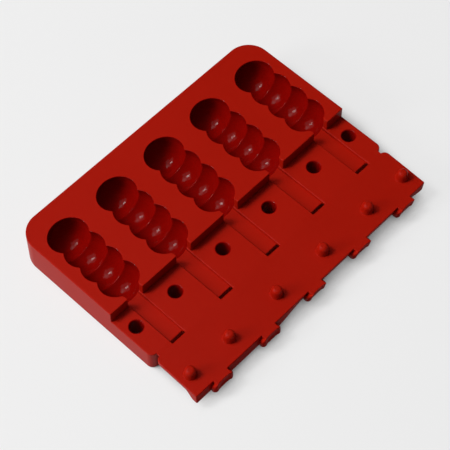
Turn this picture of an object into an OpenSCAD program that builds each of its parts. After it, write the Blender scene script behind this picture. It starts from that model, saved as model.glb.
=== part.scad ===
// Silicone candy mould: a tray of beaded lolly cavities with a lid on a moulded living hinge
// The lid lies open in front of the tray, and its face with the pegs looks up
// Y is measured from the hinge axis inside every solid, then shifted to the tray's centre

/* [Cavities] */
// Number of lolly cavities side by side
cavity_count = 5; // [3:1:7]
// Distance between the centre lines of two cavities
cavity_pitch = 40; // [36:1:50]
// From the outer cavity's centre line to the side of the tray
side_margin = 20; // [18:1:30]
// Beads in each cavity
bead_count = 4; // [2:1:6]
// Distance between the centres of two beads
bead_pitch = 14.1; // [12:0.1:16]
// Greatest radius of a bead about the cavity's long axis
bead_r = 13.8; // [12:0.1:15]
// Half length of one whole bead along the cavity
bead_half = 12; // [11:0.1:14]
// Depth of the beads' axis below the top face
axis_drop = 5; // [3:0.1:7]

/* [Tray] */
// Floor left under the deepest point of a bead
floor_t = 5.6; // [2:0.1:10]
// Drop from the top face down to the ledge
step_drop = 8.7; // [6:0.1:10]
// Ledge length from the tray's front wall to the step
ledge_len = 33.05; // [26:0.05:45]
// Wall between the last bead and the tray's back
back_wall = 12.3; // [6:0.1:20]
// Radius of the two back corners
back_corner_r = 15; // [6:0.5:20]
// Radius of the two front corners
front_corner_r = 4; // [1:0.5:6]

/* [Neck and stick] */
// Width of the neck that joins a cavity to the step
neck_w = 11.8; // [11:0.1:14]
// Length of the neck at its middle, from the step to the nearest bead
neck_len = 1.75; // [1:0.05:5]
// Radius of the rounded corner where the neck opens into the bead
neck_flare_r = 3.1; // [2:0.1:4]
// Width of the stick channel and of the slot that it ends in
stick_w = 10.5; // [8:0.1:10.8]
// Depth of the stick channel below the ledge
stick_t = 2.2; // [1.5:0.1:4]

/* [Pegs] */
// Diameter of a peg hole in the ledge
hole_d = 8.6; // [6:0.1:10]
// From the step to the centres of the holes
hole_setback = 12.55; // [9:0.05:16]
// From the tray's side to the centre of an outer hole
hole_inset = 8; // [6.5:0.1:9]
// Radial play between a hole and the foot of its peg
peg_play = 0.4; // [0.2:0.05:1]
// Radius that a peg loses from its foot to its tip
peg_taper = 0.6; // [0:0.05:1]
// Height of a peg above the lid
peg_h = 6.8; // [4:0.1:8]
// Rounding of a peg's tip
peg_round = 1.2; // [0.4:0.1:1.5]

/* [Lid] */
// Thickness of the lid's plate
lid_t = 3; // [2:0.1:4]
// Flat width of the thick rib along the lid's free edge
rib_w = 2.4; // [1:0.1:5]
// Length of the slope from the plate up to the rib
rib_slope = 6.5; // [3:0.1:8]
// Play between the closed lid and the step and necks
lid_play = 0.25; // [0.1:0.05:0.5]
// Gap between the closed lid and the ledge
rest_gap = 0.3; // [0.1:0.05:0.5]
// How far the lid's side lies inside the tray's side
lid_inset = 0.5; // [0:0.1:2]
// Radius of the lid's two corners beside the hinge
lid_corner_r = 4; // [1:0.5:6]
// How far the open lid hangs below level, in degrees
droop = 3; // [0:0.5:5]

/* [Hinge] */
// Length of the hinge web between tray and lid
web_len = 2.2; // [1.6:0.1:4]
// Thickness of the hinge web
web_t = 1.5; // [0.8:0.1:2]
// From the tray's side to the end of the web
web_inset = 4; // [2:0.1:6]

/* [Hidden] */
silicone = [0.62, 0.07, 0.05];
silicone_lid = [0.66, 0.10, 0.07];
silicone_web = [0.56, 0.05, 0.04];
$fn = 64;
over = 1;
tray_w = (cavity_count - 1) * cavity_pitch + 2 * side_margin;
block_h = axis_drop + bead_r + floor_t;
ledge_h = block_h - step_drop;
front_y = web_len / 2;
step_y = front_y + ledge_len;
first_bead_y = step_y + neck_len + bead_half;
last_bead_y = first_bead_y + (bead_count - 1) * bead_pitch;
back_y = last_bead_y + bead_half + back_wall;
hinge_y = -(front_y + back_y) / 2;
hinge_z = ledge_h + rest_gap / 2;
hole_y = step_y - hole_setback;
peg_r = hole_d / 2 - peg_play;
lid_w = tray_w - 2 * lid_inset;
lid_front_y = step_y - lid_play;
lid_rear_y = web_len / 2;
lid_h = step_drop - rest_gap;
// Where the neck's rounded corner meets the rim of the nearest bead
rim_half_w = sqrt(pow(bead_r, 2) - pow(axis_drop, 2));
rim_half_len = bead_half * rim_half_w / bead_r;
flare_w = neck_w / 2 + neck_flare_r / 2;
flare_end_y = first_bead_y - rim_half_len * sqrt(1 - pow(flare_w / rim_half_w, 2));
flare_y = flare_end_y - neck_flare_r * sin(60);
// Steps of the bead's profile, and of the curve from plate to rib
bead_steps = 10;
slope_steps = 8;

function cavity_x(i) = (i - (cavity_count - 1) / 2) * cavity_pitch;
function peg_x(i) =
    i == 0 ? -(tray_w / 2 - hole_inset) :
    i == cavity_count ? tray_w / 2 - hole_inset :
    (i - cavity_count / 2) * cavity_pitch;
// Place along Y and Z, about the hinge axis, of a point that hangs with the open lid
function hung(p) = [p[0] * cos(droop) - p[1] * sin(droop), p[0] * sin(droop) + p[1] * cos(droop)];
// Angle on the bead's ellipse at which it meets the next bead
crease_angle = asin(bead_pitch / 2 / bead_half);
// Points of one bead's profile after angle from and up to angle to, as radius and place along Y
function bead_arc(centre, from, to, steps) =
    [for (k = [1:steps])
        let (a = from + (to - from) * k / steps)
        [bead_r * cos(a), centre + bead_half * sin(a)]];
function chain_profile() = concat(
    [[0, -bead_half]],
    bead_arc(0, -90, crease_angle, 2 * bead_steps),
    [for (i = [1:1:bead_count - 2])
        each bead_arc(i * bead_pitch, -crease_angle, crease_angle, bead_steps)],
    bead_arc((bead_count - 1) * bead_pitch, -crease_angle, 90, 2 * bead_steps));

// A string of beads turned about an axis along Y, with its first bead at y = 0
module bead_chain() {
    rotate([-90, 0, 0])
        rotate_extrude()
            polygon(chain_profile());
}

// Plate outline between two places along Y, with its own radius at each end
module plate_outline(w, y0, y1, r0, r1) {
    translate([-w / 2, y0 + r0])
        square([w, y1 - r1 - y0 - r0]);
    translate([-w / 2 + r0, y0])
        square([w - 2 * r0, r0 + over]);
    translate([-w / 2 + r1, y1 - r1 - over])
        square([w - 2 * r1, r1 + over]);
    for (side = [-1, 1]) {
        translate([side * (w / 2 - r0), y0 + r0])
            circle(r0);
        translate([side * (w / 2 - r1), y1 - r1])
            circle(r1);
    }
}

// Outline of a neck, or of the tab that fills it with some play
module neck_outline(play) {
    translate([-neck_w / 2 + play, step_y - over])
        square([neck_w - 2 * play, first_bead_y - step_y + over]);
    difference() {
        translate([-flare_w + play, flare_y])
            square([2 * (flare_w - play), first_bead_y - flare_y]);
        for (side = [-1, 1])
            translate([side * (neck_w / 2 + neck_flare_r), flare_y])
                circle(neck_flare_r + play);
    }
}

// One cavity with its neck and stick channel, ready to be cut from the tray
module cavity_cut() {
    translate([0, first_bead_y, block_h - axis_drop])
        bead_chain();
    translate([0, 0, ledge_h])
        linear_extrude(step_drop + over)
            neck_outline(0);
    translate([-stick_w / 2, front_y - over, ledge_h - stick_t])
        cube([stick_w, first_bead_y - front_y + over, stick_t + over]);
}

module peg_hole() {
    translate([0, hole_y, -over])
        cylinder(h = ledge_h + 2 * over, d = hole_d);
}

// Stepped block with its corners, before anything is cut
module tray_body() {
    linear_extrude(ledge_h)
        plate_outline(tray_w, front_y, back_y, front_corner_r, back_corner_r);
    linear_extrude(block_h)
        intersection() {
            plate_outline(tray_w, front_y, back_y, front_corner_r, back_corner_r);
            translate([-tray_w, step_y])
                square([2 * tray_w, back_y]);
        }
}

module tray() {
    color(silicone)
        translate([0, hinge_y, 0])
            difference() {
                tray_body();
                for (i = [0:cavity_count - 1])
                    translate([cavity_x(i), 0, 0])
                        cavity_cut();
                for (i = [0:cavity_count])
                    translate([peg_x(i), 0, 0])
                        peg_hole();
            }
}

// Turns a shape from the closed lid's place, with z = 0 on its inner face, to the open rest
module open_lid() {
    translate([0, hinge_y, hinge_z])
        rotate([180 + droop, 0, 0])
            translate([0, 0, rest_gap / 2])
                children();
}

// Side view of the lid as it lies closed: a thin plate that swells to a thick free edge
module lid_profile() {
    slope_end = lid_front_y - rib_w;
    polygon(concat(
        [[lid_rear_y, 0], [lid_front_y, 0], [lid_front_y, lid_h]],
        [for (k = [0:slope_steps])
            let (t = k / slope_steps)
            [slope_end - rib_slope * t, lid_t + (lid_h - lid_t) * (1 + cos(180 * t)) / 2]],
        [[lid_rear_y, lid_t]]));
}

module lid_plate() {
    intersection() {
        rotate([90, 0, 90])
            translate([0, 0, -lid_w / 2])
                linear_extrude(lid_w)
                    lid_profile();
        linear_extrude(lid_h)
            plate_outline(lid_w, lid_rear_y, lid_front_y + lid_corner_r, lid_corner_r, lid_corner_r);
    }
}

// Tab that fills one neck, with a hollow end that completes the nearest bead
module lid_tab() {
    difference() {
        linear_extrude(lid_h)
            intersection() {
                neck_outline(lid_play);
                translate([-neck_w, lid_front_y - over / 2])
                    square([2 * neck_w, bead_half]);
            }
        translate([0, first_bead_y, step_drop - axis_drop - rest_gap])
            bead_chain();
    }
}

// Tapered peg with a rounded tip, pointing down from the lid's inner face
module peg() {
    tip_r = peg_r - peg_taper;
    translate([0, hole_y, 0])
        rotate([180, 0, 0])
            rotate_extrude() {
                polygon([[0, -over], [peg_r, -over], [peg_r, 0], [tip_r, peg_h - peg_round], [0, peg_h - peg_round]]);
                translate([0, peg_h - peg_round - over])
                    square([tip_r - peg_round, peg_round + over]);
                intersection() {
                    translate([tip_r - peg_round, peg_h - peg_round])
                        circle(peg_round);
                    translate([0, peg_h - peg_round])
                        square([tip_r, peg_round]);
                }
            }
}

module lid() {
    color(silicone_lid)
        open_lid() {
            lid_plate();
            for (i = [0:cavity_count - 1])
                translate([cavity_x(i), 0, 0])
                    lid_tab();
            for (i = [0:cavity_count])
                translate([peg_x(i), 0, 0])
                    peg();
        }
}

// Side view of the web about the hinge axis, with its outer half hanging like the lid
module web_profile() {
    polygon([
        [web_len / 2, -rest_gap / 2],
        [0, -rest_gap / 2],
        hung([-web_len / 2, -rest_gap / 2]),
        hung([-web_len / 2, -rest_gap / 2 - web_t]),
        [0, -rest_gap / 2 - web_t],
        [web_len / 2, -rest_gap / 2 - web_t]]);
}

// The strips of the living hinge, one on each side of every stick slot
module hinge_web() {
    color(silicone_web)
        translate([0, hinge_y, hinge_z])
            for (i = [0:cavity_count]) {
                from = i == 0 ? -tray_w / 2 + web_inset : cavity_x(i - 1) + stick_w / 2;
                to = i == cavity_count ? tray_w / 2 - web_inset : cavity_x(i) - stick_w / 2;
                translate([from, 0, 0])
                    rotate([90, 0, 90])
                        linear_extrude(to - from)
                            web_profile();
            }
}

tray();
hinge_web();
lid();
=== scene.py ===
"""A silicone candy mould: five beaded cavities, stick channels and a flap lid on a living hinge.

The whole mould is one casting, so it is made here as one mesh in red silicone, in place of the parts "tray",
"hinge_web" and "lid", which are hidden. The thin web between tray and lid is bent a little where the open
lid hangs.
"""
import logging
import math
from collections.abc import Callable
from dataclasses import dataclass
from enum import Enum

import bpy
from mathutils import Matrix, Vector


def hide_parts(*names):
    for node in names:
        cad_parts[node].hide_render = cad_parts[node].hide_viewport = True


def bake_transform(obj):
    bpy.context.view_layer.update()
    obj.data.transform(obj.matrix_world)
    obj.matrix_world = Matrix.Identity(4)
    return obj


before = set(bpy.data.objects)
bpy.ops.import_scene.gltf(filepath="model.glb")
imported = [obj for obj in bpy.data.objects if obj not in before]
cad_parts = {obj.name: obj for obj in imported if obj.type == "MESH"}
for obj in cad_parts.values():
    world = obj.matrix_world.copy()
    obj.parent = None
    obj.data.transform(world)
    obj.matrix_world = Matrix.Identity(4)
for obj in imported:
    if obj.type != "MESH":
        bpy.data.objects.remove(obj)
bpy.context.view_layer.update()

log = logging.getLogger("candy_mould")

# One millimetre in metres.
MM = 0.001
# How near to a place a corner has to lie to be on it, in millimetres.
NEAR = 0.01


class Cut(Enum):
    """What a boolean does with its second solid."""

    AWAY = "DIFFERENCE"
    JOIN = "UNION"


@dataclass(frozen=True)
class MouldSizes:
    """Sizes of the mould in millimetres and degrees. Y runs from the hinge axis towards the back."""

    cavity_count: int = 5
    cavity_pitch: float = 40.0
    half_width: float = 100.0
    block_height: float = 24.4
    ledge_height: float = 15.7
    front_y: float = 1.1
    step_y: float = 34.15
    back_y: float = 114.5
    back_corner: float = 15.0
    front_corner: float = 4.0
    bead_count: int = 4
    bead_pitch: float = 14.1
    bead_radius: float = 13.8
    bead_half_length: float = 12.0
    axis_drop: float = 5.0
    first_bead_y: float = 47.9
    neck_width: float = 11.8
    neck_flare: float = 3.1
    flare_turn: float = 60.0
    stick_width: float = 10.5
    stick_depth: float = 2.2
    hole_diameter: float = 8.6
    hole_y: float = 21.6
    hole_inset: float = 8.0
    hinge_to_origin: float = -57.8
    hinge_z: float = 15.85
    droop: float = 3.0

    def cavity_x(self) -> list[float]:
        """Gives the middle of every cavity along X."""
        middle = (self.cavity_count - 1) / 2
        return [(i - middle) * self.cavity_pitch for i in range(self.cavity_count)]

    def peg_x(self) -> list[float]:
        """Gives the middle of every peg and peg hole along X.

        Returns:
            One place near each end of the ledge, and one between each two cavities.
        """
        edge = self.half_width - self.hole_inset
        between = [(i - self.cavity_count / 2) * self.cavity_pitch for i in range(1, self.cavity_count)]
        return [-edge, *between, edge]

    def flare_half_width(self) -> float:
        """Gives half a neck's width at the first bead's rim, where its corner has turned 60 degrees."""
        return self.neck_width / 2 + self.neck_flare / 2

    def flare_y(self) -> float:
        """Gives the place along Y of the middle of a neck's rounded corner.

        Returns:
            The place from which the corner ends just on the rim of the first bead.
        """
        rim_half_width = math.sqrt(self.bead_radius**2 - self.axis_drop**2)
        rim_half_length = self.bead_half_length * rim_half_width / self.bead_radius
        share = self.flare_half_width() / rim_half_width
        meets = self.first_bead_y - rim_half_length * math.sqrt(1 - share**2)
        return meets - self.neck_flare * math.sin(math.radians(self.flare_turn))


SIZES = MouldSizes()


class Bench:
    """Work on one solid at a time, as by hand, in millimetres."""

    # Edges count as sharp from this angle on, in degrees.
    SHARP_FROM = 33.0
    # Corners of a loft that lie closer together than this, in millimetres, become one.
    LOFT_GAP = 0.001

    @staticmethod
    def pick(*pieces: bpy.types.Object) -> None:
        """Deselects everything, then selects the pieces and makes the first one active.

        Args:
            pieces: The pieces to work on.
        """
        if bpy.context.object and bpy.context.object.mode != "OBJECT":
            bpy.ops.object.mode_set(mode="OBJECT")
        bpy.ops.object.select_all(action="DESELECT")
        for piece in pieces:
            piece.select_set(True)
        bpy.context.view_layer.objects.active = pieces[0]

    @staticmethod
    def settle(piece: bpy.types.Object) -> None:
        """Applies a piece's place, turn and scale to its mesh."""
        Bench.pick(piece)
        bpy.ops.object.transform_apply(location=True, rotation=True, scale=True)

    @staticmethod
    def snap(piece: bpy.types.Object) -> None:
        """Rounds every corner to a thousandth of a millimetre, so that level faces are truly level."""
        for vertex in piece.data.vertices:
            vertex.co = [round(value, 3) for value in vertex.co]

    @staticmethod
    def box(name: str, low: tuple, high: tuple, material: bpy.types.Material) -> bpy.types.Object:
        """Adds a box between two corners.

        Args:
            name: Name of the new object.
            low: Lowest corner.
            high: Highest corner.
            material: Finish of its faces.

        Returns:
            The box, with its place in its mesh.
        """
        bpy.ops.object.select_all(action="DESELECT")
        centre = [(a + b) / 2 for a, b in zip(low, high)]
        bpy.ops.mesh.primitive_cube_add(size=1, location=centre)
        piece = bpy.context.object
        piece.name = name
        piece.scale = [b - a for a, b in zip(low, high)]
        Bench.settle(piece)
        Bench.snap(piece)
        piece.data.materials.append(material)
        return piece

    @staticmethod
    def solid(
        name: str, points: list[tuple], faces: list[tuple], material: bpy.types.Material
    ) -> bpy.types.Object:
        """Builds a solid from its corners and faces.

        Args:
            name: Name of the new object.
            points: Corners of the solid.
            faces: Corner numbers of each face.
            material: Finish of its faces.

        Returns:
            The solid, with its place in its mesh.
        """
        mesh = bpy.data.meshes.new(name)
        mesh.from_pydata(points, [], faces)
        piece = bpy.data.objects.new(name, mesh)
        bpy.context.scene.collection.objects.link(piece)
        piece.data.materials.append(material)
        return piece

    @staticmethod
    def loft(
        name: str, rows: list[list[tuple]], material: bpy.types.Material, ladder: bool = False
    ) -> bpy.types.Object:
        """Builds a closed solid through rows of points, with a flat face over its first and last row.

        Args:
            name: Name of the new object.
            rows: Closed lines with the same number of points each.
            material: Finish of its faces.
            ladder: Closes the last row with one face between each two points and their mirror images,
                for a row that isn't level.

        Returns:
            The solid, with its place in its mesh.
        """
        count = len(rows[0])
        last = (len(rows) - 1) * count
        faces = [tuple(range(count))]
        if ladder:
            for i in range(count // 2 - 1):
                faces.append((last + i, last + i + 1, last + count - 2 - i, last + count - 1 - i))
        else:
            faces.append(tuple(last + i for i in range(count)))
        for k in range(len(rows) - 1):
            for i in range(count):
                j = (i + 1) % count
                faces.append((k * count + i, k * count + j, (k + 1) * count + j, (k + 1) * count + i))
        piece = Bench.solid(name, [point for row in rows for point in row], faces, material)
        Bench.weld(piece, Bench.LOFT_GAP)
        Bench.snap(piece)
        return piece

    @staticmethod
    def apply(piece: bpy.types.Object, modifier: bpy.types.Modifier) -> None:
        """Applies a modifier to a piece's mesh."""
        Bench.pick(piece)
        bpy.ops.object.modifier_apply(modifier=modifier.name)

    @staticmethod
    def combine(piece: bpy.types.Object, other: bpy.types.Object, how: Cut) -> None:
        """Joins another solid to a piece, or cuts it away, and uses the other solid up.

        Args:
            piece: The solid that stays.
            other: The solid that is used up.
            how: What is done with it.
        """
        boolean = piece.modifiers.new("boolean", "BOOLEAN")
        boolean.operation = how.value
        boolean.solver = "EXACT"
        boolean.material_mode = "TRANSFER"
        boolean.object = other
        Bench.apply(piece, boolean)
        bpy.data.objects.remove(other, do_unlink=True)

    @staticmethod
    def gather(pieces: list[bpy.types.Object]) -> bpy.types.Object:
        """Joins solids that don't touch into one object, without a boolean.

        Args:
            pieces: The solids. The first one takes up the others.

        Returns:
            The object that holds them all.
        """
        Bench.pick(*pieces)
        bpy.ops.object.join()
        return bpy.context.object

    @staticmethod
    def copies(piece: bpy.types.Object, places: list[float]) -> bpy.types.Object:
        """Sets a copy of a piece, with its own mesh, at each place along X and gathers them.

        Args:
            piece: The piece that was modelled at X = 0. It is used up.
            places: Where the copies go along X.

        Returns:
            One object that holds all copies.
        """
        row = []
        for x in places:
            Bench.pick(piece)
            bpy.ops.object.duplicate(linked=False)
            copy = bpy.context.object
            copy.location.x = x
            Bench.settle(copy)
            Bench.snap(copy)
            row.append(copy)
        bpy.data.objects.remove(piece, do_unlink=True)
        return Bench.gather(row)

    @staticmethod
    def mark(piece: bpy.types.Object, kind: str, wanted: Callable[[list[Vector]], bool]) -> None:
        """Leaves edit mode open on a piece with only the wanted edges or faces selected.

        Args:
            piece: The piece to work on.
            kind: "EDGE" or "FACE".
            wanted: Test that is given the corners of an edge or a face.
        """
        Bench.pick(piece)
        bpy.ops.object.mode_set(mode="EDIT")
        bpy.ops.mesh.select_mode(type=kind)
        bpy.ops.mesh.select_all(action="DESELECT")
        bpy.ops.object.mode_set(mode="OBJECT")
        mesh = piece.data
        for part in mesh.edges if kind == "EDGE" else mesh.polygons:
            part.select = wanted([mesh.vertices[v].co for v in part.vertices])
        bpy.ops.object.mode_set(mode="EDIT")

    @staticmethod
    def round_edges(
        piece: bpy.types.Object, wanted: Callable[[list[Vector]], bool], radius: float, steps: int
    ) -> None:
        """Rounds the edges whose two ends pass a test, with a number of segments across the rounding."""
        Bench.mark(piece, "EDGE", wanted)
        Bench.bevel_marked(radius, steps)

    @staticmethod
    def bevel_marked(radius: float, steps: int) -> None:
        """Rounds the edges that are selected in edit mode, and leaves it."""
        bpy.ops.mesh.bevel(offset=radius, segments=steps, affect="EDGES", clamp_overlap=False)
        bpy.ops.object.mode_set(mode="OBJECT")

    @staticmethod
    def soften(
        piece: bpy.types.Object, wanted: Callable[[list[Vector]], bool], radius: float, steps: int
    ) -> None:
        """Rounds the sharp edges of a piece that pass a test.

        Args:
            piece: The piece to work on.
            wanted: Test that is given the two ends of an edge.
            radius: Radius of the rounding.
            steps: Number of segments across it.
        """
        Bench.mark(piece, "EDGE", lambda ends: False)
        bpy.ops.mesh.edges_select_sharp(sharpness=math.radians(Bench.SHARP_FROM))
        bpy.ops.object.mode_set(mode="OBJECT")
        mesh = piece.data
        for edge in mesh.edges:
            edge.select = edge.select and wanted([mesh.vertices[v].co for v in edge.vertices])
        bpy.ops.object.mode_set(mode="EDIT")
        Bench.bevel_marked(radius, steps)

    @staticmethod
    def slice_at(piece: bpy.types.Object, places: list[float], along: tuple = (0, 1, 0)) -> None:
        """Adds a loop of edges round a piece at each place along an axis.

        Args:
            piece: The piece to work on.
            places: Places of the loops.
            along: The axis, as a direction.
        """
        for place in places:
            Bench.mark(piece, "FACE", lambda corners: True)
            bpy.ops.mesh.bisect(plane_co=[place * part for part in along], plane_no=along)
            bpy.ops.object.mode_set(mode="OBJECT")

    @staticmethod
    def weld(piece: bpy.types.Object, gap: float) -> None:
        """Merges corners that lie closer together than a gap, and points all faces outwards.

        Args:
            piece: The piece to work on.
            gap: The gap.
        """
        Bench.mark(piece, "FACE", lambda corners: True)
        bpy.ops.mesh.remove_doubles(threshold=gap)
        bpy.ops.mesh.select_all(action="SELECT")
        bpy.ops.mesh.normals_make_consistent(inside=False)
        bpy.ops.object.mode_set(mode="OBJECT")


class Line:
    """Work on closed lines of points in one level plane."""

    # Keeps the shifted point of a very sharp corner from running far out.
    SHARPEST = 0.4

    @staticmethod
    def shifted(line: list[tuple], by: float) -> list[tuple]:
        """Moves a closed line outwards, or inwards when the distance is negative.

        Args:
            line: Points with X and Y, and any further values, which are kept.
            by: The distance.

        Returns:
            The moved line, with as many points.
        """
        count = len(line)
        area = sum(line[i - 1][0] * line[i][1] - line[i][0] * line[i - 1][1] for i in range(count))
        side = by if area > 0 else -by
        moved = []
        for i in range(count):
            before = Vector(line[i][:2]) - Vector(line[i - 1][:2])
            after = Vector(line[(i + 1) % count][:2]) - Vector(line[i][:2])
            before.normalize()
            after.normalize()
            reach = side / max(1 + before.dot(after), Line.SHARPEST)
            x = line[i][0] + (before.y + after.y) * reach
            y = line[i][1] - (before.x + after.x) * reach
            moved.append((x, y, *line[i][2:]))
        return moved

    @staticmethod
    def ring(radius: float, place: tuple[float, float], height: float, sides: int) -> list[tuple]:
        """Gives a level circle of points.

        Args:
            radius: Its radius.
            place: Its middle in X and Y.
            height: Its place along Z.
            sides: Number of its points.

        Returns:
            The points, from the +X side round.
        """
        turns = [2 * math.pi * i / sides for i in range(sides)]
        x, y = place
        return [(x + radius * math.cos(turn), y + radius * math.sin(turn), height) for turn in turns]

    @staticmethod
    def corner(start: tuple, middle: tuple, end: tuple, steps: int) -> list[tuple]:
        """Gives a soft curve from a start towards a corner's middle point and on to an end.

        Args:
            start: First point of the curve.
            middle: Point that the curve bends towards.
            end: Last point of the curve.
            steps: Number of stretches between its points.

        Returns:
            The points, with both ends.
        """
        points = []
        for k in range(steps + 1):
            t = k / steps
            weights = ((1 - t) ** 2, 2 * t * (1 - t), t**2)
            points.append(
                tuple(sum(w * p[axis] for w, p in zip(weights, (start, middle, end))) for axis in (0, 1))
            )
        return points


def quarter_round(radius: float, steps: int) -> list[tuple[float, float]]:
    """Gives a quarter circle as pairs of distance out and distance below the top, from the top down."""
    turns = [math.pi / 2 * (1 - k / steps) for k in range(steps + 1)]
    return [(radius * (1 - math.cos(turn)), radius * (1 - math.sin(turn))) for turn in turns]


def eased(value: float) -> float:
    """Eases a value from 0 to 1 with a level start and end, and holds it outside them."""
    share = min(max(value, 0.0), 1.0)
    return share * share * (3 - 2 * share)


@dataclass(frozen=True)
class SiliconeFinish:
    """Coloured silicone rubber, cast against a mould that was more or less glossy; a finish's colour may
    also hold painted shade.
    """

    name: str
    colour: tuple[float, float, float]
    shade: tuple[float, float, float]
    roughness: float
    roughness_spread: float
    grain: float
    specular: float
    glow: float = 0.12
    glow_radius: tuple[float, float, float] = (1.0, 0.18, 0.1)
    glow_depth: float = 0.0015
    ior: float = 1.43
    cloud_scale: float = 24.0
    cloud_detail: float = 3.0
    grain_scale: float = 900.0
    grain_detail: float = 2.0
    grain_depth: float = 0.00005

    def build(self) -> bpy.types.Material:
        """Builds the node material.

        Returns:
            A material with faint colour clouds, uneven gloss and a fine moulded grain.
        """
        material = bpy.data.materials.new(self.name)
        material.use_nodes = True
        nodes = material.node_tree.nodes
        links = material.node_tree.links
        shader = nodes["Principled BSDF"]
        place = nodes.new("ShaderNodeTexCoord")

        clouds = nodes.new("ShaderNodeTexNoise")
        clouds.inputs["Scale"].default_value = self.cloud_scale
        clouds.inputs["Detail"].default_value = self.cloud_detail
        links.new(place.outputs["Object"], clouds.inputs["Vector"])
        tint = nodes.new("ShaderNodeMix")
        tint.data_type = "RGBA"
        tint.inputs["A"].default_value = (*self.shade, 1.0)
        tint.inputs["B"].default_value = (*self.colour, 1.0)
        links.new(clouds.outputs["Fac"], tint.inputs["Factor"])
        links.new(tint.outputs["Result"], shader.inputs["Base Color"])

        gloss = nodes.new("ShaderNodeMapRange")
        gloss.inputs["To Min"].default_value = self.roughness - self.roughness_spread
        gloss.inputs["To Max"].default_value = self.roughness + self.roughness_spread
        links.new(clouds.outputs["Fac"], gloss.inputs["Value"])
        links.new(gloss.outputs["Result"], shader.inputs["Roughness"])

        grain = nodes.new("ShaderNodeTexNoise")
        grain.inputs["Scale"].default_value = self.grain_scale
        grain.inputs["Detail"].default_value = self.grain_detail
        links.new(place.outputs["Object"], grain.inputs["Vector"])
        bump = nodes.new("ShaderNodeBump")
        bump.inputs["Strength"].default_value = self.grain
        bump.inputs["Distance"].default_value = self.grain_depth
        links.new(grain.outputs["Fac"], bump.inputs["Height"])
        links.new(bump.outputs["Normal"], shader.inputs["Normal"])

        shader.inputs["IOR"].default_value = self.ior
        shader.inputs["Specular IOR Level"].default_value = self.specular
        shader.inputs["Subsurface Weight"].default_value = self.glow
        shader.inputs["Subsurface Radius"].default_value = self.glow_radius
        shader.inputs["Subsurface Scale"].default_value = self.glow_depth
        return material


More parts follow.
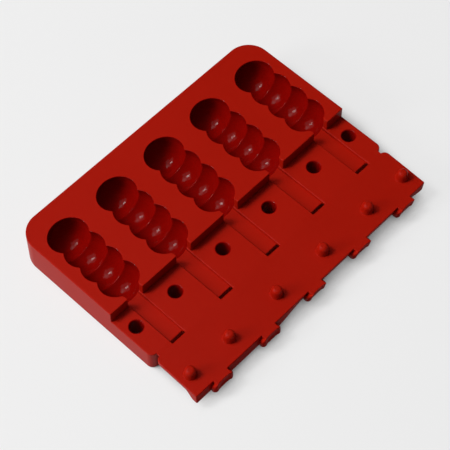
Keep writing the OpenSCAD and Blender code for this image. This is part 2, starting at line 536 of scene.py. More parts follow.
@dataclass
class CavityLoft:
    """One cavity with its neck, lofted as closed rows of points from above the rim down to the bottom.

    Each row runs from the front of the neck along its right side, round the beads and back along the left
    side. The ridges between the beads are rounded, as the photograph shows.
    """

    # Glossy finish of the beads; its colour, darker than the satin's, is painted shade in the hollow.
    polished_and_shaded: bpy.types.Material
    satin: bpy.types.Material
    sizes: MouldSizes = SIZES
    above_rim: float = 0.5
    rim_radius: float = 0.4
    rim_steps: int = 4
    neck_front: float = 32.0
    neck_corner: float = 0.6
    corner_steps: int = 4
    ridge: float = 0.9
    flare_steps: int = 7
    front_steps: int = 8
    mouth_steps: int = 5
    back_steps: int = 14
    half_bead: tuple[float, ...] = (0.0, 1.4, 2.8, 4.1, 5.2, 6.0, 6.4, 6.75)
    wall_steps: int = 5
    bowl_steps: int = 13
    neck_margin: float = 0.1
    neck_end: float = 2.8
    weld_gap: float = 0.002
    tries: int = 40

    def build(self) -> bpy.types.Object:
        """Builds the solid that is cut from the tray.

        Returns:
            The closed loft at X = 0.
        """
        s = self.sizes
        axis_z = s.block_height - s.axis_drop
        floor = s.ledge_height - axis_z
        start = s.axis_drop - self.rim_radius
        points = []
        rim = Line.shifted(self.upper_row(s.axis_drop), self.rim_radius)
        rows = [self.add_row(points, [(x, y, z + self.above_rim) for x, y, z in rim])]
        for out, below in quarter_round(self.rim_radius, self.rim_steps):
            rows.append(self.add_row(points, Line.shifted(self.upper_row(s.axis_drop - below), out)))
        for k in range(1, self.wall_steps + 1):
            level = start + (floor - start) * k / self.wall_steps
            rows.append(self.add_row(points, self.upper_row(level)))
        mouth = self.mouth_angles(floor)
        neck_count = 2 + self.corner_steps + self.flare_steps
        bead_part = rows[-1][neck_count:-neck_count]
        deep = self.bowl_angle(s.bead_radius, floor)
        arc = self.add_row(points, [self.cap_point(angle, deep, -1) for angle in mouth[1:-1]])
        faces = [tuple(rows[0]), *self.bands(rows), self.floor_face(rows[-1], neck_count, arc)]
        lower = [[*bead_part, *arc]]
        for k in range(1, self.bowl_steps + 1):
            lower.append(self.add_row(points, self.lower_row(1 - k / self.bowl_steps, floor, mouth)))
        faces += self.bands(lower)
        loft = Bench.solid("cavity", [(x, y, z + axis_z) for x, y, z in points], faces, self.polished_and_shaded)
        loft.data.materials.append(self.satin)
        corners = loft.data.vertices
        for face in loft.data.polygons:
            face.material_index = int(self.in_neck([corners[v].co for v in face.vertices]))
        Bench.weld(loft, self.weld_gap)
        Bench.snap(loft)
        return loft

    def in_neck(self, corners: list[Vector]) -> bool:
        """Tells whether a face belongs to the neck, which isn't as glossy as the beads.

        Args:
            corners: Corners of the face.

        Returns:
            True for a face of the neck.
        """
        s = self.sizes
        side = s.flare_half_width() + self.neck_margin
        end = s.flare_y() + self.neck_end
        return all(c.z > s.ledge_height - NEAR and abs(c.x) < side and c.y < end for c in corners)

    @staticmethod
    def add_row(points: list, row: list) -> list[int]:
        """Adds a row's points and gives their numbers.

        Args:
            points: All points so far. The row's points are added to them.
            row: Points of the row.

        Returns:
            The number of each of the row's points.
        """
        first = len(points)
        points.extend(row)
        return list(range(first, len(points)))

    @staticmethod
    def bands(rows: list[list[int]]) -> list[tuple[int, ...]]:
        """Gives the faces between each row and the next one.

        Args:
            rows: Closed rows of point numbers, from the top down.

        Returns:
            One face for each two neighbours in a row.
        """
        faces = []
        for upper, lower in zip(rows, rows[1:]):
            for i in range(len(upper)):
                j = (i + 1) % len(upper)
                faces.append((upper[i], upper[j], lower[j], lower[i]))
        return faces

    @staticmethod
    def floor_face(row: list[int], neck_count: int, arc: list[int]) -> tuple[int, ...]:
        """Gives the neck's floor: its outline, then the arc across its mouth from left to right.

        Args:
            row: Point numbers of the row at the floor's level.
            neck_count: How many of them each side of the neck has.
            arc: Point numbers of the arc.

        Returns:
            The face.
        """
        left = row[-neck_count - 1:]
        right = row[:neck_count + 1]
        return tuple(left + right + arc[::-1])

    def profile(self, y: float) -> float:
        """Gives the radius of the string of beads at a place along it, with rounded ridges.

        Args:
            y: Place from the middle of the first bead.

        Returns:
            The radius.
        """
        s = self.sizes
        radii = []
        for i in range(s.bead_count):
            share = (y - i * s.bead_pitch) / s.bead_half_length
            if abs(share) < 1:
                radii.append(s.bead_radius * math.sqrt(1 - share**2))
        radii.sort()
        if len(radii) < 2:
            return radii[0]
        close = max(self.ridge - (radii[-1] - radii[-2]), 0.0)
        return radii[-1] + close**2 / (4 * self.ridge)

    def stations(self) -> list[float]:
        """Gives the places along the beads, from the middle of the first to the middle of the last.

        Returns:
            The places, closer together near the ridges.
        """
        s = self.sizes
        places = []
        for i in range(s.bead_count - 1):
            start = i * s.bead_pitch
            places += [start + step for step in self.half_bead]
            places += [start + s.bead_pitch / 2]
            places += [start + s.bead_pitch - step for step in self.half_bead[:0:-1]]
        return [*places, (s.bead_count - 1) * s.bead_pitch]

    @staticmethod
    def bowl_angle(radius: float, level: float) -> float:
        """Gives the angle from straight down at which a circle reaches a level."""
        return math.acos(-level / radius)

    def cap_point(self, azimuth: float, angle: float, end: int) -> tuple[float, float, float]:
        """Gives a point of an end bead.

        Args:
            azimuth: Angle from the +X side, towards the end.
            angle: Angle from straight down.
            end: -1 at the front bead and 1 at the back one.

        Returns:
            The point, from the middle of the first bead's place along Y and from the beads' axis along Z.
        """
        s = self.sizes
        middle = 0.0 if end < 0 else (s.bead_count - 1) * s.bead_pitch
        out = math.sin(angle)
        return (
            s.bead_radius * out * math.cos(azimuth),
            s.first_bead_y + middle + end * s.bead_half_length * out * math.sin(azimuth),
            -s.bead_radius * math.cos(angle),
        )

    def front_cap(self, azimuth: float, angle: float) -> list[tuple[float, float, float]]:
        """Gives the front bead's points from an azimuth round to its side."""
        steps = self.front_steps
        return [self.cap_point(azimuth * (1 - k / steps), angle, -1) for k in range(steps)]

    def back_cap(self, angle: float) -> list[tuple[float, float, float]]:
        """Gives the back bead's points from its side round to just before its end."""
        steps = self.back_steps
        return [self.cap_point(math.pi / 2 * k / steps, angle, 1) for k in range(1, steps)]

    def mirrored(self, right: list[tuple], angle: float) -> list[tuple]:
        """Closes a right side over the back with its mirror image.

        Args:
            right: Points of the right side.
            angle: Angle from straight down at which the back bead ends.

        Returns:
            The right side, the point at the very back and the left side.
        """
        back = self.cap_point(math.pi / 2, angle, 1)
        left = [(-x, y, z) for x, y, z in reversed(right)]
        return [*right, (0.0, back[1], back[2]), *left]

    def junction(self, level: float) -> tuple[float, float]:
        """Finds where the neck's rounded corner meets the first bead at a level.

        Args:
            level: Height over the beads' axis.

        Returns:
            The angle round the corner's middle, and the azimuth on the first bead.
        """
        s = self.sizes
        scale = math.sqrt(1 - (level / s.bead_radius) ** 2)
        centre = (s.neck_width / 2 + s.neck_flare, s.flare_y() - s.first_bead_y)
        low, high = 0.0, math.radians(s.flare_turn)
        for _ in range(self.tries):
            turn = (low + high) / 2
            x = centre[0] - s.neck_flare * math.cos(turn)
            y = centre[1] + s.neck_flare * math.sin(turn)
            inside = (x / (s.bead_radius * scale)) ** 2 + (y / (s.bead_half_length * scale)) ** 2 < 1
            low, high = (low, turn) if inside else (turn, high)
        azimuth = math.atan2(-y / s.bead_half_length, x / s.bead_radius)
        return turn, azimuth

    def mouth_angles(self, level: float) -> list[float]:
        """Gives the azimuths across the neck's mouth on the first bead.

        Args:
            level: Height over the beads' axis.

        Returns:
            The azimuths from left to right, with both ends.
        """
        _, azimuth = self.junction(level)
        steps = 2 * self.mouth_steps
        start = math.pi - azimuth
        return [start + (azimuth - start) * k / steps for k in range(steps + 1)]

    def upper_row(self, level: float) -> list[tuple[float, float, float]]:
        """Gives the row at a level above the neck's floor.

        Args:
            level: Height over the beads' axis.

        Returns:
            The row's points, from the front of the right side to the front of the left.
        """
        s = self.sizes
        half = s.neck_width / 2
        corner = self.neck_corner
        right = [(half + corner, self.neck_front, level)]
        for k in range(self.corner_steps + 1):
            angle = math.pi / 2 * k / self.corner_steps
            x = half + corner * (1 - math.sin(angle))
            right.append((x, s.step_y + corner * (1 - math.cos(angle)), level))
        turn, azimuth = self.junction(level)
        for k in range(self.flare_steps):
            angle = turn * k / self.flare_steps
            right.append(
                (
                    half + s.neck_flare * (1 - math.cos(angle)),
                    s.flare_y() + s.neck_flare * math.sin(angle),
                    level,
                )
            )
        right += self.round_beads(level, azimuth)
        return self.mirrored(right, self.bowl_angle(s.bead_radius, level))

    def round_beads(self, level: float, azimuth: float) -> list[tuple[float, float, float]]:
        """Gives the right side's points along the beads at a level.

        Args:
            level: Height over the beads' axis.
            azimuth: Where the neck's corner meets the first bead.

        Returns:
            The points, from the neck's corner to just before the back.
        """
        s = self.sizes
        angle = self.bowl_angle(s.bead_radius, level)
        side = self.front_cap(azimuth, angle)
        for y in self.stations():
            side.append((math.sqrt(self.profile(y) ** 2 - level**2), s.first_bead_y + y, level))
        return side + self.back_cap(angle)

    def lower_row(
        self, share: float, floor: float, mouth: list[float]
    ) -> list[tuple[float, float, float]]:
        """Gives a row of the bowls under the neck's floor.

        Args:
            share: 1 at the floor's level and 0 at the bottom.
            floor: Level of the neck's floor over the beads' axis.
            mouth: Azimuths across the neck's mouth.

        Returns:
            The row's points, in the order of the floor's row.
        """
        s = self.sizes
        _, azimuth = self.junction(floor)
        cap = self.bowl_angle(s.bead_radius, floor) * share
        right = self.front_cap(azimuth, cap)
        for y in self.stations():
            radius = self.profile(y)
            angle = self.bowl_angle(radius, floor) * share
            right.append((radius * math.sin(angle), s.first_bead_y + y, -radius * math.cos(angle)))
        right += self.back_cap(cap)
        across = [self.cap_point(angle, cap, -1) for angle in mouth[1:-1]]
        return [*self.mirrored(right, cap), *across]


@dataclass
class TrayPart:
    """The stepped block with its cavities, necks, stick channels and peg holes."""

    satin: bpy.types.Material
    # Glossy finish of the cavities and peg holes; its colour, darker than the satin's, is painted shade in
    # these hollows.
    polished_and_shaded: bpy.types.Material
    sizes: MouldSizes = SIZES
    back_steps: int = 20
    front_steps: int = 8
    fillet: float = 0.5
    fillet_steps: int = 4
    channel_rim: float = 0.45
    channel_steps: int = 3
    channel_above: float = 0.5
    slot_set_back: float = 0.6
    slot_floor: float = 10.0
    slot_wall: float = 0.05
    hole_rim: float = 0.6
    hole_steps: int = 5
    hole_sides: int = 64
    hole_above: float = 1.0
    hole_below: float = 2.0

    def stepped_block(self) -> bpy.types.Object:
        """Builds the block with its round corners and its low ledge at the front.

        Returns:
            The block, without cavities or holes.
        """
        s = self.sizes
        block = Bench.box(
            "tray_part",
            (-s.half_width, s.front_y, 0),
            (s.half_width, s.back_y, s.ledge_height),
            self.satin,
        )

        def upright_at(y: float) -> Callable[[list[Vector]], bool]:
            """Gives the test for the upright edges at a place along Y."""
            return lambda ends: (
                all(abs(end.y - y) < NEAR for end in ends) and abs(ends[0].x - ends[1].x) < NEAR
            )

        Bench.round_edges(block, upright_at(s.back_y), s.back_corner, self.back_steps)
        Bench.round_edges(block, upright_at(s.front_y), s.front_corner, self.front_steps)
        Bench.slice_at(block, [s.step_y])
        Bench.mark(
            block,
            "FACE",
            lambda corners: all(c.z > s.ledge_height - NEAR and c.y > s.step_y - NEAR for c in corners),
        )
        rise = (0, 0, s.block_height - s.ledge_height)
        bpy.ops.mesh.extrude_region_move(TRANSFORM_OT_translate={"value": rise})
        bpy.ops.object.mode_set(mode="OBJECT")
        foot = (s.step_y, s.ledge_height)
        Bench.soften(
            block,
            lambda ends: any(math.dist((end.y, end.z), foot) > NEAR for end in ends),
            self.fillet,
            self.fillet_steps,
        )
        Bench.snap(block)
        return block

    def cavities(self) -> bpy.types.Object:
        """Builds what is cut away for the cavities, their necks and their stick channels.

        Returns:
            One object that holds all of them.
        """
        s = self.sizes
        shape = CavityLoft(self.polished_and_shaded, self.satin, s).build()
        Bench.combine(shape, self.stick_channel(), Cut.JOIN)
        return Bench.copies(shape, s.cavity_x())

    def stick_channel(self) -> bpy.types.Object:
        """Builds one stick channel with rounded rims and its slot in the hinge.

        Returns:
            The solid that is cut away at X = 0, from the lid's rear edge to inside the first bead.
        """
        s = self.sizes
        half = s.stick_width / 2
        top = s.ledge_height
        right = [(half, top - s.stick_depth)]
        rim = quarter_round(self.channel_rim, self.channel_steps)
        right += [(half + out, top - below) for out, below in reversed(rim)]
        right.append((half + self.channel_rim, top + self.channel_above))
        lip = s.front_y + self.slot_set_back
        deep = top - s.stick_depth - self.slot_floor
        places = [(-s.front_y, deep), (lip - self.slot_wall, deep)]
        places += [(lip + back, drop) for drop, back in rim]
        places.append((s.first_bead_y, 0.0))
        rows = []
        for y, drop in places:
            side = [(right[0][0], y, right[0][1] - drop), *[(x, y, z) for x, z in right[1:]]]
            rows.append([*side, *[(-x, y, z) for x, y, z in reversed(side)]])
        return Bench.loft("stick_channel", rows, self.satin)

    def peg_holes(self) -> bpy.types.Object:
        """Builds what is cut away for the six peg holes.

        Returns:
            One object that holds all six.
        """
        s = self.sizes
        radius = s.hole_diameter / 2
        top = s.ledge_height
        rim = quarter_round(self.hole_rim, self.hole_steps)
        profile = [(radius + self.hole_rim, top + self.hole_above)]
        profile += [(radius + out, top - below) for out, below in rim]
        profile.append((radius, -self.hole_below))
        rows = [Line.ring(r, (0, s.hole_y), height, self.hole_sides) for r, height in profile]
        return Bench.copies(Bench.loft("peg_hole", rows, self.polished_and_shaded), s.peg_x())


@dataclass(frozen=True)
class EdgeLean:
    """How the lid's soft free edge leans out below its top, in degrees, at places in millimetres."""

    left: float = 5.0
    middle: float = -11.0
    right: float = -2.0
    turns_over: tuple[float, ...] = (-34.0, -26.0, -18.0, -6.0)
    eases_over: tuple[float, float] = (86.0, 96.0)
    starts_at: float = -24.0
    grows_over: float = 7.0
    tabs_start_at: float = -34.0
    tabs_ease_over: float = 1.5
    tabs_lean_less: float = 0.45

    def at(self, x: float, y: float) -> float:
        """Gives the lean at a place: outwards on the left and inwards further right, as in the photograph.

        Args:
            x: Place along the edge.
            y: Place from the hinge axis.

        Returns:
            The way towards the front for each millimetre of depth below the top.
        """
        first, last = self.turns_over[0], self.turns_over[-1]
        start, end = self.eases_over
        turn = self.left + (self.middle - self.left) * eased((x - first) / (last - first))
        turn += (self.right - self.middle) * eased((x - start) / (end - start))
        if turn < 0:
            turn *= 1 - self.tabs_lean_less * eased((self.tabs_start_at - y) / self.tabs_ease_over)
        return math.tan(math.radians(turn)) * eased((self.starts_at - y) / self.grows_over)


EDGE_LEAN = EdgeLean()


@dataclass
class LidPart:
    """The flap lid as it lies open: a thin plate with a thick free edge, five tabs and six pegs."""

    satin: bpy.types.Material
    sizes: MouldSizes = SIZES
    lean: EdgeLean = EDGE_LEAN
    half_width: float = 99.5
    plate: float = 3.0
    height: float = 8.4
    rib: float = 2.4
    slope: float = 6.5
    slope_steps: int = 8
    play: float = 0.25
    rest_gap: float = 0.3
    rear_corner: float = 4.0
    end_corner: float = 0.8
    corner_steps: int = 8
    shortest_step: float = 0.3
    fillet: float = 0.5
    fillet_steps: int = 4
    beside_tab: float = 10.0
    tab_fillet: float = 0.3
    tab_foot: float = 0.7
    tab_foot_steps: int = 6
    tab_lift: float = 0.15
    tab_rows: int = 10
    tab_root: float = 31.6
    tab_root_length: float = 0.2
    lobe_tip: tuple[float, float] = (37.6, 37.4)
    lobe_reach: tuple[float, float] = (6.0, 8.1)
    lobe_radius: tuple[float, float] = (0.5, 2.4)
    lobe_depth: float = 4.5
    lobe_turn: tuple[float, float] = (-60.0, 120.0)
    lobe_steps: int = 10
    bend_steps: int = 4
    wall_steps: int = 6
    wall_shift: tuple[float, float] = (0.7, 0.3)
    peg_radius: float = 3.9
    peg_tip: float = 3.3
    peg_height: float = 6.8
    peg_round: float = 2.2
    peg_round_steps: int = 7
    peg_foot: float = 0.3
    peg_foot_steps: int = 4
    peg_sides: int = 48
    peg_root: float = 1.0

    def plate_and_rib(self) -> bpy.types.Object:
        """Builds the plate, whose underside swells to a thick free edge in a soft curve.

        Returns:
            The plate, sliced beside the tabs and where the lean of its edge changes.
        """
        s = self.sizes
        rear = -s.front_y
        front = -(s.step_y - self.play)
        wide = self.half_width
        turns = [math.pi / 2 * k / self.corner_steps for k in range(self.corner_steps + 1)]
        right = []
        for turn in turns:
            x = wide - self.end_corner * (1 - math.sin(turn))
            right.append((x, front + self.end_corner * (1 - math.cos(turn))))
        for k in range(1, self.slope_steps + 1):
            y = front + self.rib + self.slope * k / self.slope_steps
            if y > right[-1][1] + self.shortest_step:
                right.append((wide, y))
        for turn in reversed(turns):
            x = wide - self.rear_corner * (1 - math.sin(turn))
            right.append((x, rear - self.rear_corner * (1 - math.cos(turn))))
        outline = [*right, *[(-x, y) for x, y in reversed(right)]]
        rounding = quarter_round(self.fillet, self.fillet_steps)
        rows = []
        for out, below in rounding:
            rows.append([(x, y, s.ledge_height - below) for x, y in Line.shifted(outline, -out)])
        for out, up in reversed(rounding):
            rows.append([(x, y, self.underside(y) + up) for x, y in Line.shifted(outline, -out)])
        plate = Bench.loft("lid_part", rows, self.satin, ladder=True)
        places = [x + side for x in s.cavity_x() for side in (-self.beside_tab, self.beside_tab)]
        Bench.slice_at(plate, [*places, *self.lean.turns_over, *self.lean.eases_over], (1, 0, 0))
        Bench.snap(plate)
        return plate

    def underside(self, y: float) -> float:
        """Gives the height of the lid's underside.

        Args:
            y: Place from the hinge axis.

        Returns:
            The height, with the lid open and level.
        """
        s = self.sizes
        slope_end = -(s.step_y - self.play) + self.rib
        share = min(max((y - slope_end) / self.slope, 0.0), 1.0)
        swell = (self.height - self.plate) * (1 + math.cos(math.pi * share)) / 2
        return s.ledge_height - self.plate - swell

    def tabs(self) -> bpy.types.Object:
        """Builds the five tabs, each with a hollow end that completes the first bead of its cavity.

        Returns:
            One object that holds all five.
        """
        s = self.sizes
        top = s.ledge_height
        bottom = top - self.height + self.tab_lift
        rows = []
        for out, below in quarter_round(self.tab_fillet, self.fillet_steps):
            rows.append(Line.shifted(self.tab_row(top - below), -out))
        low, high = bottom + self.tab_foot, top - self.tab_fillet
        count = self.tab_rows
        rows += [self.tab_row(high + (low - high) * k / count) for k in range(1, count)]
        for out, up in reversed(quarter_round(self.tab_foot, self.tab_foot_steps)):
            rows.append(Line.shifted(self.tab_row(bottom + up), -out))
        return Bench.copies(Bench.loft("tab", rows, self.satin), s.cavity_x())

    def tab_row(self, height: float) -> list[tuple[float, float, float]]:
        """Gives the outline of a tab at a height: a neck, two round lobes and the bead's wall between them.

        Args:
            height: Place along Z, with the lid open and level.

        Returns:
            The closed line, from its root on the right side to its root on the left.
        """
        s = self.sizes
        share = (s.ledge_height - height) / self.height
        swell = eased((s.ledge_height - height) / self.lobe_depth)
        radius, reach, tip = (
            low + (high - low) * swell for low, high in (self.lobe_radius, self.lobe_reach, self.lobe_tip)
        )
        centre = (reach - radius, tip - radius)
        bead_z = s.ledge_height - (s.block_height - s.axis_drop - s.ledge_height - self.rest_gap)
        shrink = math.sqrt(1 - ((height - bead_z) / s.bead_radius) ** 2)
        shift = self.wall_shift[0] + (self.wall_shift[1] - self.wall_shift[0]) * share
        wall = s.first_bead_y - s.bead_half_length * shrink + shift
        half = s.neck_width / 2 - self.play
        low, high = (math.radians(angle) for angle in self.lobe_turn)

        def on_lobe(turn: float) -> tuple[float, float]:
            """Gives the point of the right lobe at an angle."""
            return (centre[0] + radius * math.cos(turn), centre[1] + radius * math.sin(turn))

        start = on_lobe(low)
        rise = (start[0] - half) / math.sin(-low)
        bend = (half, start[1] - rise * math.cos(low))
        end = on_lobe(high)
        dip = (end[0] - (end[1] - wall) * math.tan(-low), wall)
        leaves = max(bend[1] - rise, self.tab_root + self.tab_root_length)
        right = [(half, self.tab_root), *Line.corner((half, leaves), bend, start, self.bend_steps)]
        right += [on_lobe(low + (high - low) * k / self.lobe_steps) for k in range(1, self.lobe_steps)]
        right += Line.corner(end, dip, (0.0, wall), self.wall_steps)[:-1]
        outline = [*right, (0.0, wall), *[(-x, y) for x, y in reversed(right)]]
        return [(x, -y, height) for x, y in outline]

    def pegs(self) -> bpy.types.Object:
        """Builds the six pegs with their rounded tips and softly swelling feet.

        Returns:
            One object that holds all six.
        """
        s = self.sizes
        base = s.ledge_height
        top = base + self.peg_height
        foot = quarter_round(self.peg_foot, self.peg_foot_steps)
        tip = quarter_round(self.peg_round, self.peg_round_steps)
        profile = [(self.peg_radius + self.peg_foot, base - self.peg_root)]
        profile += [(self.peg_radius + out, base + up) for out, up in foot]
        profile += [(self.peg_tip - out, top - below) for out, below in reversed(tip)]
        rows = [Line.ring(radius, (0, -s.hole_y), height, self.peg_sides) for radius, height in profile]
        return Bench.copies(Bench.loft("peg", rows, self.satin), s.peg_x())


@dataclass
class HingePart:
    """The living hinge: six strips of thin silicone between the stick slots."""

    satin: bpy.types.Material
    sizes: MouldSizes = SIZES
    thickness: float = 1.5
    inset: float = 4.0
    root: float = 1.0
    steps: int = 8

    def build(self) -> bpy.types.Object:
        """Builds the strips, which reach a little way into the tray and the lid.

        Returns:
            One object that holds all six, sliced across so that they can bend.
        """
        s = self.sizes
        edge = s.half_width - self.inset
        starts = [-edge, *[x + s.stick_width / 2 for x in s.cavity_x()]]
        ends = [*[x - s.stick_width / 2 for x in s.cavity_x()], edge]
        reach = s.front_y + self.root
        strips = []
        for i, (start, end) in enumerate(zip(starts, ends)):
            low = (start, -reach, s.ledge_height - self.thickness)
            strips.append(Bench.box(f"hinge_strip_{i}", low, (end, reach, s.ledge_height), self.satin))
        row = Bench.gather(strips)
        Bench.slice_at(row, [s.front_y * (2 * k / self.steps - 1) for k in range(self.steps + 1)])
        Bench.snap(row)
        return row


@dataclass
class CandyMould:
    """The whole mould: tray, hinge and lid, cast in one piece."""

    satin: SiliconeFinish
    polished_and_shaded: SiliconeFinish
    # Painted shade: a darker, nearly matt finish for the front faces of the lid's free edge.
    edge: SiliconeFinish
    sizes: MouldSizes = SIZES
    lean: EdgeLean = EDGE_LEAN
    weld_gap: float = 0.01
    smooth_under: float = 40.0
    flat_weight: int = 100
    # Where the painted shade on the free edge starts, in metres along Y, and how far forward a face must
    # point to take it.
    painted_shade_from: float = -0.085
    painted_shade_facing: float = -0.5

    def build(self) -> bpy.types.Object:
        """Builds the mould in place.

        Returns:
            The finished mesh, in metres.
        """
        satin = self.satin.build()
        polished_and_shaded = self.polished_and_shaded.build()
        tray = TrayPart(satin, polished_and_shaded)
        lid = LidPart(satin)
        mould = tray.stepped_block()
        mould.name = "silicone_mould"
        mould.data.name = "silicone_mould"
        for solid in (HingePart(satin).build(), lid.plate_and_rib(), lid.tabs(), lid.pegs()):
            Bench.combine(mould, solid, Cut.JOIN)
        for solid in (tray.cavities(), tray.peg_holes()):
            Bench.combine(mould, solid, Cut.AWAY)
        Bench.weld(mould, self.weld_gap)
        self.hang(mould)
        self.finish(mould)
        return mould

    def hang(self, mould: bpy.types.Object) -> None:
        """Leans the free edge and lets the open lid hang a few degrees, with the bend spread over the hinge.

        Args:
            mould: The mould, in millimetres from the hinge axis.
        """
        s = self.sizes
        axis = Vector((0, 0, s.hinge_z))
        for vertex in mould.data.vertices:
            vertex.co.y -= (s.ledge_height - vertex.co.z) * self.lean.at(vertex.co.x, vertex.co.y)
            angle = math.radians(s.droop) * eased((s.front_y - vertex.co.y) / (2 * s.front_y))
            from_axis = vertex.co - axis
            vertex.co.y = from_axis.y * math.cos(angle) - from_axis.z * math.sin(angle)
            vertex.co.z = axis.z + from_axis.y * math.sin(angle) + from_axis.z * math.cos(angle)

    def finish(self, mould: bpy.types.Object) -> None:
        """Brings the mesh to its place in metres, smooths it, hides the parts that it replaces and paints
        shade on the free edge.

        Args:
            mould: The mould, in millimetres from the hinge axis.
        """
        s = self.sizes
        mould.location = (0, s.hinge_to_origin * MM, 0)
        mould.scale = (MM, MM, MM)
        Bench.settle(mould)
        bpy.ops.object.shade_smooth_by_angle(angle=math.radians(self.smooth_under))
        flat = mould.modifiers.new("flat_faces_stay_flat", "WEIGHTED_NORMAL")
        flat.keep_sharp = True
        flat.weight = self.flat_weight
        Bench.apply(mould, flat)
        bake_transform(mould)
        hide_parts("tray", "hinge_web", "lid")
        self.paint_edge_shade(mould)

    def paint_edge_shade(self, mould: bpy.types.Object) -> None:
        """Paints shade on the front faces of the lid's free edge: a darker, nearly matt finish that stands
        in for the shade there.

        Args:
            mould: The mould, in place and in metres.
        """
        last = len(mould.data.materials)
        mould.data.materials.append(self.edge.build())
        for face in mould.data.polygons:
            if face.normal.y < self.painted_shade_facing and face.center.y < self.painted_shade_from:
                face.material_index = last


@dataclass(frozen=True)
class SoftLamp:
    """A rectangular soft box that looks at the mould."""

    name: str
    azimuth: float
    elevation: float
    distance: float
    width: float
    height: float
    power: float

    def build(self) -> bpy.types.Object:
        """Places the lamp on a sphere round the mould, facing its middle.

        Returns:
            The lamp.
        """
        turn = math.radians(self.azimuth)
        rise = math.radians(self.elevation)
        level = math.cos(rise)
        direction = Vector((level * math.cos(turn), level * math.sin(turn), math.sin(rise)))
        data = bpy.data.lights.new(self.name, "AREA")
        data.shape = "RECTANGLE"
        data.size = self.width
        data.size_y = self.height
        data.energy = self.power
        lamp = bpy.data.objects.new(self.name, data)
        bpy.context.scene.collection.objects.link(lamp)
        lamp.location = direction * self.distance
        lamp.rotation_euler = direction.to_track_quat("Z", "Y").to_euler()
        return lamp


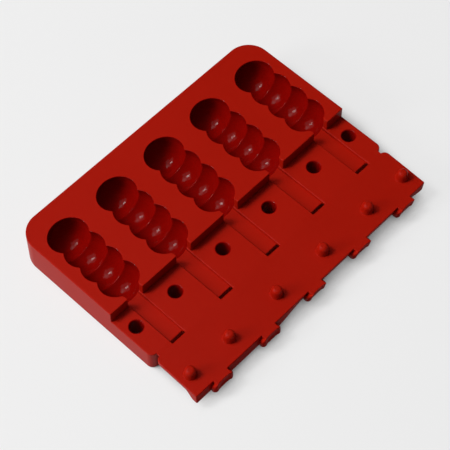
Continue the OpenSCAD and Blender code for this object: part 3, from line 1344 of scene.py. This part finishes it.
@dataclass
class Studio:
    """The pale floor, the soft light and the camera."""

    floor_colour: float = 0.65
    seen_colour: float = 0.22
    seen_glow: float = 0.635
    # The painted shadow on the floor: its reach, a normal tilted towards the lamps, the occlusion levels
    # where it is darkest and where it ends, and its samples.
    painted_shadow_reach: float = 0.024
    painted_shadow_side: tuple[float, float, float] = (-0.5, 0.4, 0.77)
    painted_shadow_dark: float = 0.35
    painted_shadow_light: float = 0.77
    painted_shadow_samples: int = 16
    floor_roughness: float = 0.9
    floor_size: float = 12.0
    floor_drop: float = 0.0001
    world_level: float = 0.05
    lens: float = 133.46
    sensor_width: float = 36.0
    sees_to: float = 100.0
    camera_place: tuple[float, float, float] = (-0.38303, -0.38094, 0.86556)
    camera_turn: tuple[float, float, float] = (31.3162, -0.1852, -46.3085)

    def build(self) -> None:
        """Builds the studio."""
        self.place_camera()
        self.lay_floor()
        self.light()
        bpy.context.scene.view_settings.view_transform = "Standard"

    def place_camera(self) -> None:
        """Sets the camera where the photograph was taken from."""
        data = bpy.data.cameras.new("camera")
        data.lens = self.lens
        data.sensor_width = self.sensor_width
        data.sensor_fit = "HORIZONTAL"
        data.clip_end = self.sees_to
        camera = bpy.data.objects.new("camera", data)
        bpy.context.scene.collection.objects.link(camera)
        camera.location = self.camera_place
        camera.rotation_euler = [math.radians(angle) for angle in self.camera_turn]
        bpy.context.scene.camera = camera

    def lay_floor(self) -> None:
        """Lays a large pale floor just below the mould."""
        bpy.ops.object.select_all(action="DESELECT")
        bpy.ops.mesh.primitive_plane_add(size=self.floor_size, location=(0, 0, -self.floor_drop))
        floor = bpy.context.object
        floor.name = "studio_floor"
        Bench.settle(floor)
        floor.data.materials.append(self.floor_material())

    def floor_material(self) -> bpy.types.Material:
        """Builds the floor's matte white, which the camera and reflections see as an even pale grey.

        Returns:
            A material whose glow is dimmed near the mould by ambient occlusion, a painted shadow added to
            the lamps' real shadow.
        """
        material = bpy.data.materials.new("pale_floor")
        material.use_nodes = True
        nodes = material.node_tree.nodes
        links = material.node_tree.links
        shader = nodes["Principled BSDF"]
        shader.inputs["Roughness"].default_value = self.floor_roughness
        shader.inputs["Specular IOR Level"].default_value = 0.0
        path = nodes.new("ShaderNodeLightPath")
        direct = nodes.new("ShaderNodeMath")
        direct.operation = "ADD"
        links.new(path.outputs["Is Camera Ray"], direct.inputs[0])
        links.new(path.outputs["Is Transmission Ray"], direct.inputs[1])
        seen = nodes.new("ShaderNodeMath")
        seen.operation = "ADD"
        seen.use_clamp = True
        links.new(direct.outputs["Value"], seen.inputs[0])
        links.new(path.outputs["Is Glossy Ray"], seen.inputs[1])
        colour = nodes.new("ShaderNodeMix")
        colour.data_type = "RGBA"
        colour.inputs["A"].default_value = (*[self.floor_colour] * 3, 1.0)
        colour.inputs["B"].default_value = (*[self.seen_colour] * 3, 1.0)
        links.new(seen.outputs["Value"], colour.inputs["Factor"])
        links.new(colour.outputs["Result"], shader.inputs["Base Color"])

        # Painted shadow: ambient occlusion round a normal tilted towards the lamps dims the floor's glow
        # near the mould.
        painted_shadow = nodes.new("ShaderNodeAmbientOcclusion")
        painted_shadow.samples = self.painted_shadow_samples
        painted_shadow.inputs["Distance"].default_value = self.painted_shadow_reach
        side = nodes.new("ShaderNodeCombineXYZ")
        for i, value in enumerate(self.painted_shadow_side):
            side.inputs[i].default_value = value
        links.new(side.outputs["Vector"], painted_shadow.inputs["Normal"])
        level = nodes.new("ShaderNodeMapRange")
        level.interpolation_type = "SMOOTHSTEP"
        level.inputs["From Min"].default_value = self.painted_shadow_dark
        level.inputs["From Max"].default_value = self.painted_shadow_light
        level.inputs["To Max"].default_value = self.seen_glow
        links.new(painted_shadow.outputs["AO"], level.inputs["Value"])
        glow = nodes.new("ShaderNodeMath")
        glow.operation = "MULTIPLY"
        links.new(level.outputs["Result"], glow.inputs[0])
        links.new(seen.outputs["Value"], glow.inputs[1])
        shader.inputs["Emission Color"].default_value = (1.0, 1.0, 1.0, 1.0)
        links.new(glow.outputs["Value"], shader.inputs["Emission Strength"])
        return material

    def light(self) -> None:
        """Lights the mould with four soft boxes from the left and behind, and a plain dim world."""
        lamps = [
            SoftLamp("key_soft_box", 141.0, 55.0, 2.4, 0.5, 0.7, 28.0),
            SoftLamp("wide_soft_box", 141.0, 62.0, 2.4, 2.2, 2.2, 23.0),
            SoftLamp("upper_soft_box", 100.0, 72.0, 2.6, 0.9, 0.9, 7.0),
            SoftLamp("side_soft_box", 157.0, 25.0, 2.4, 0.7, 0.7, 20.0),
        ]
        for lamp in lamps:
            lamp.build()
        world = bpy.data.worlds.new("studio_world")
        bpy.context.scene.world = world
        world.use_nodes = True
        background = world.node_tree.nodes["Background"]
        background.inputs["Color"].default_value = (1.0, 1.0, 1.0, 1.0)
        background.inputs["Strength"].default_value = self.world_level


def main() -> None:
    """Builds the studio and the mould."""
    logging.basicConfig(level=logging.INFO, format="%(name)s: %(message)s")
    Studio().build()
    satin = SiliconeFinish(
        name="red_silicone_satin",
        colour=(0.365, 0.0075, 0.002),
        shade=(0.335, 0.0065, 0.0016),
        roughness=0.4,
        roughness_spread=0.05,
        grain=0.15,
        specular=0.075,
    )
    # Glossy finish of the cavities and peg holes: the gloss is real, and its colour, darker than the
    # satin's, is painted shade in these hollows.
    polished_and_shaded = SiliconeFinish(
        name="red_silicone_polished_and_shaded",
        colour=(0.24, 0.0018, 0.0008),
        shade=(0.21, 0.0016, 0.0007),
        roughness=0.09,
        roughness_spread=0.02,
        grain=0.03,
        specular=0.1,
    )
    # Painted shade: darker and nearly without gloss, this finish stands in for the shade on the front faces
    # of the lid's free edge.
    edge = SiliconeFinish(
        name="red_silicone_painted_edge_shade",
        colour=(0.3, 0.004, 0.001),
        shade=(0.27, 0.0035, 0.0009),
        roughness=0.45,
        roughness_spread=0.05,
        grain=0.15,
        specular=0.01,
    )
    mould = CandyMould(satin, polished_and_shaded, edge).build()
    log.info("%s: %d faces", mould.name, len(mould.data.polygons))


if __name__ == "__main__":
    main()
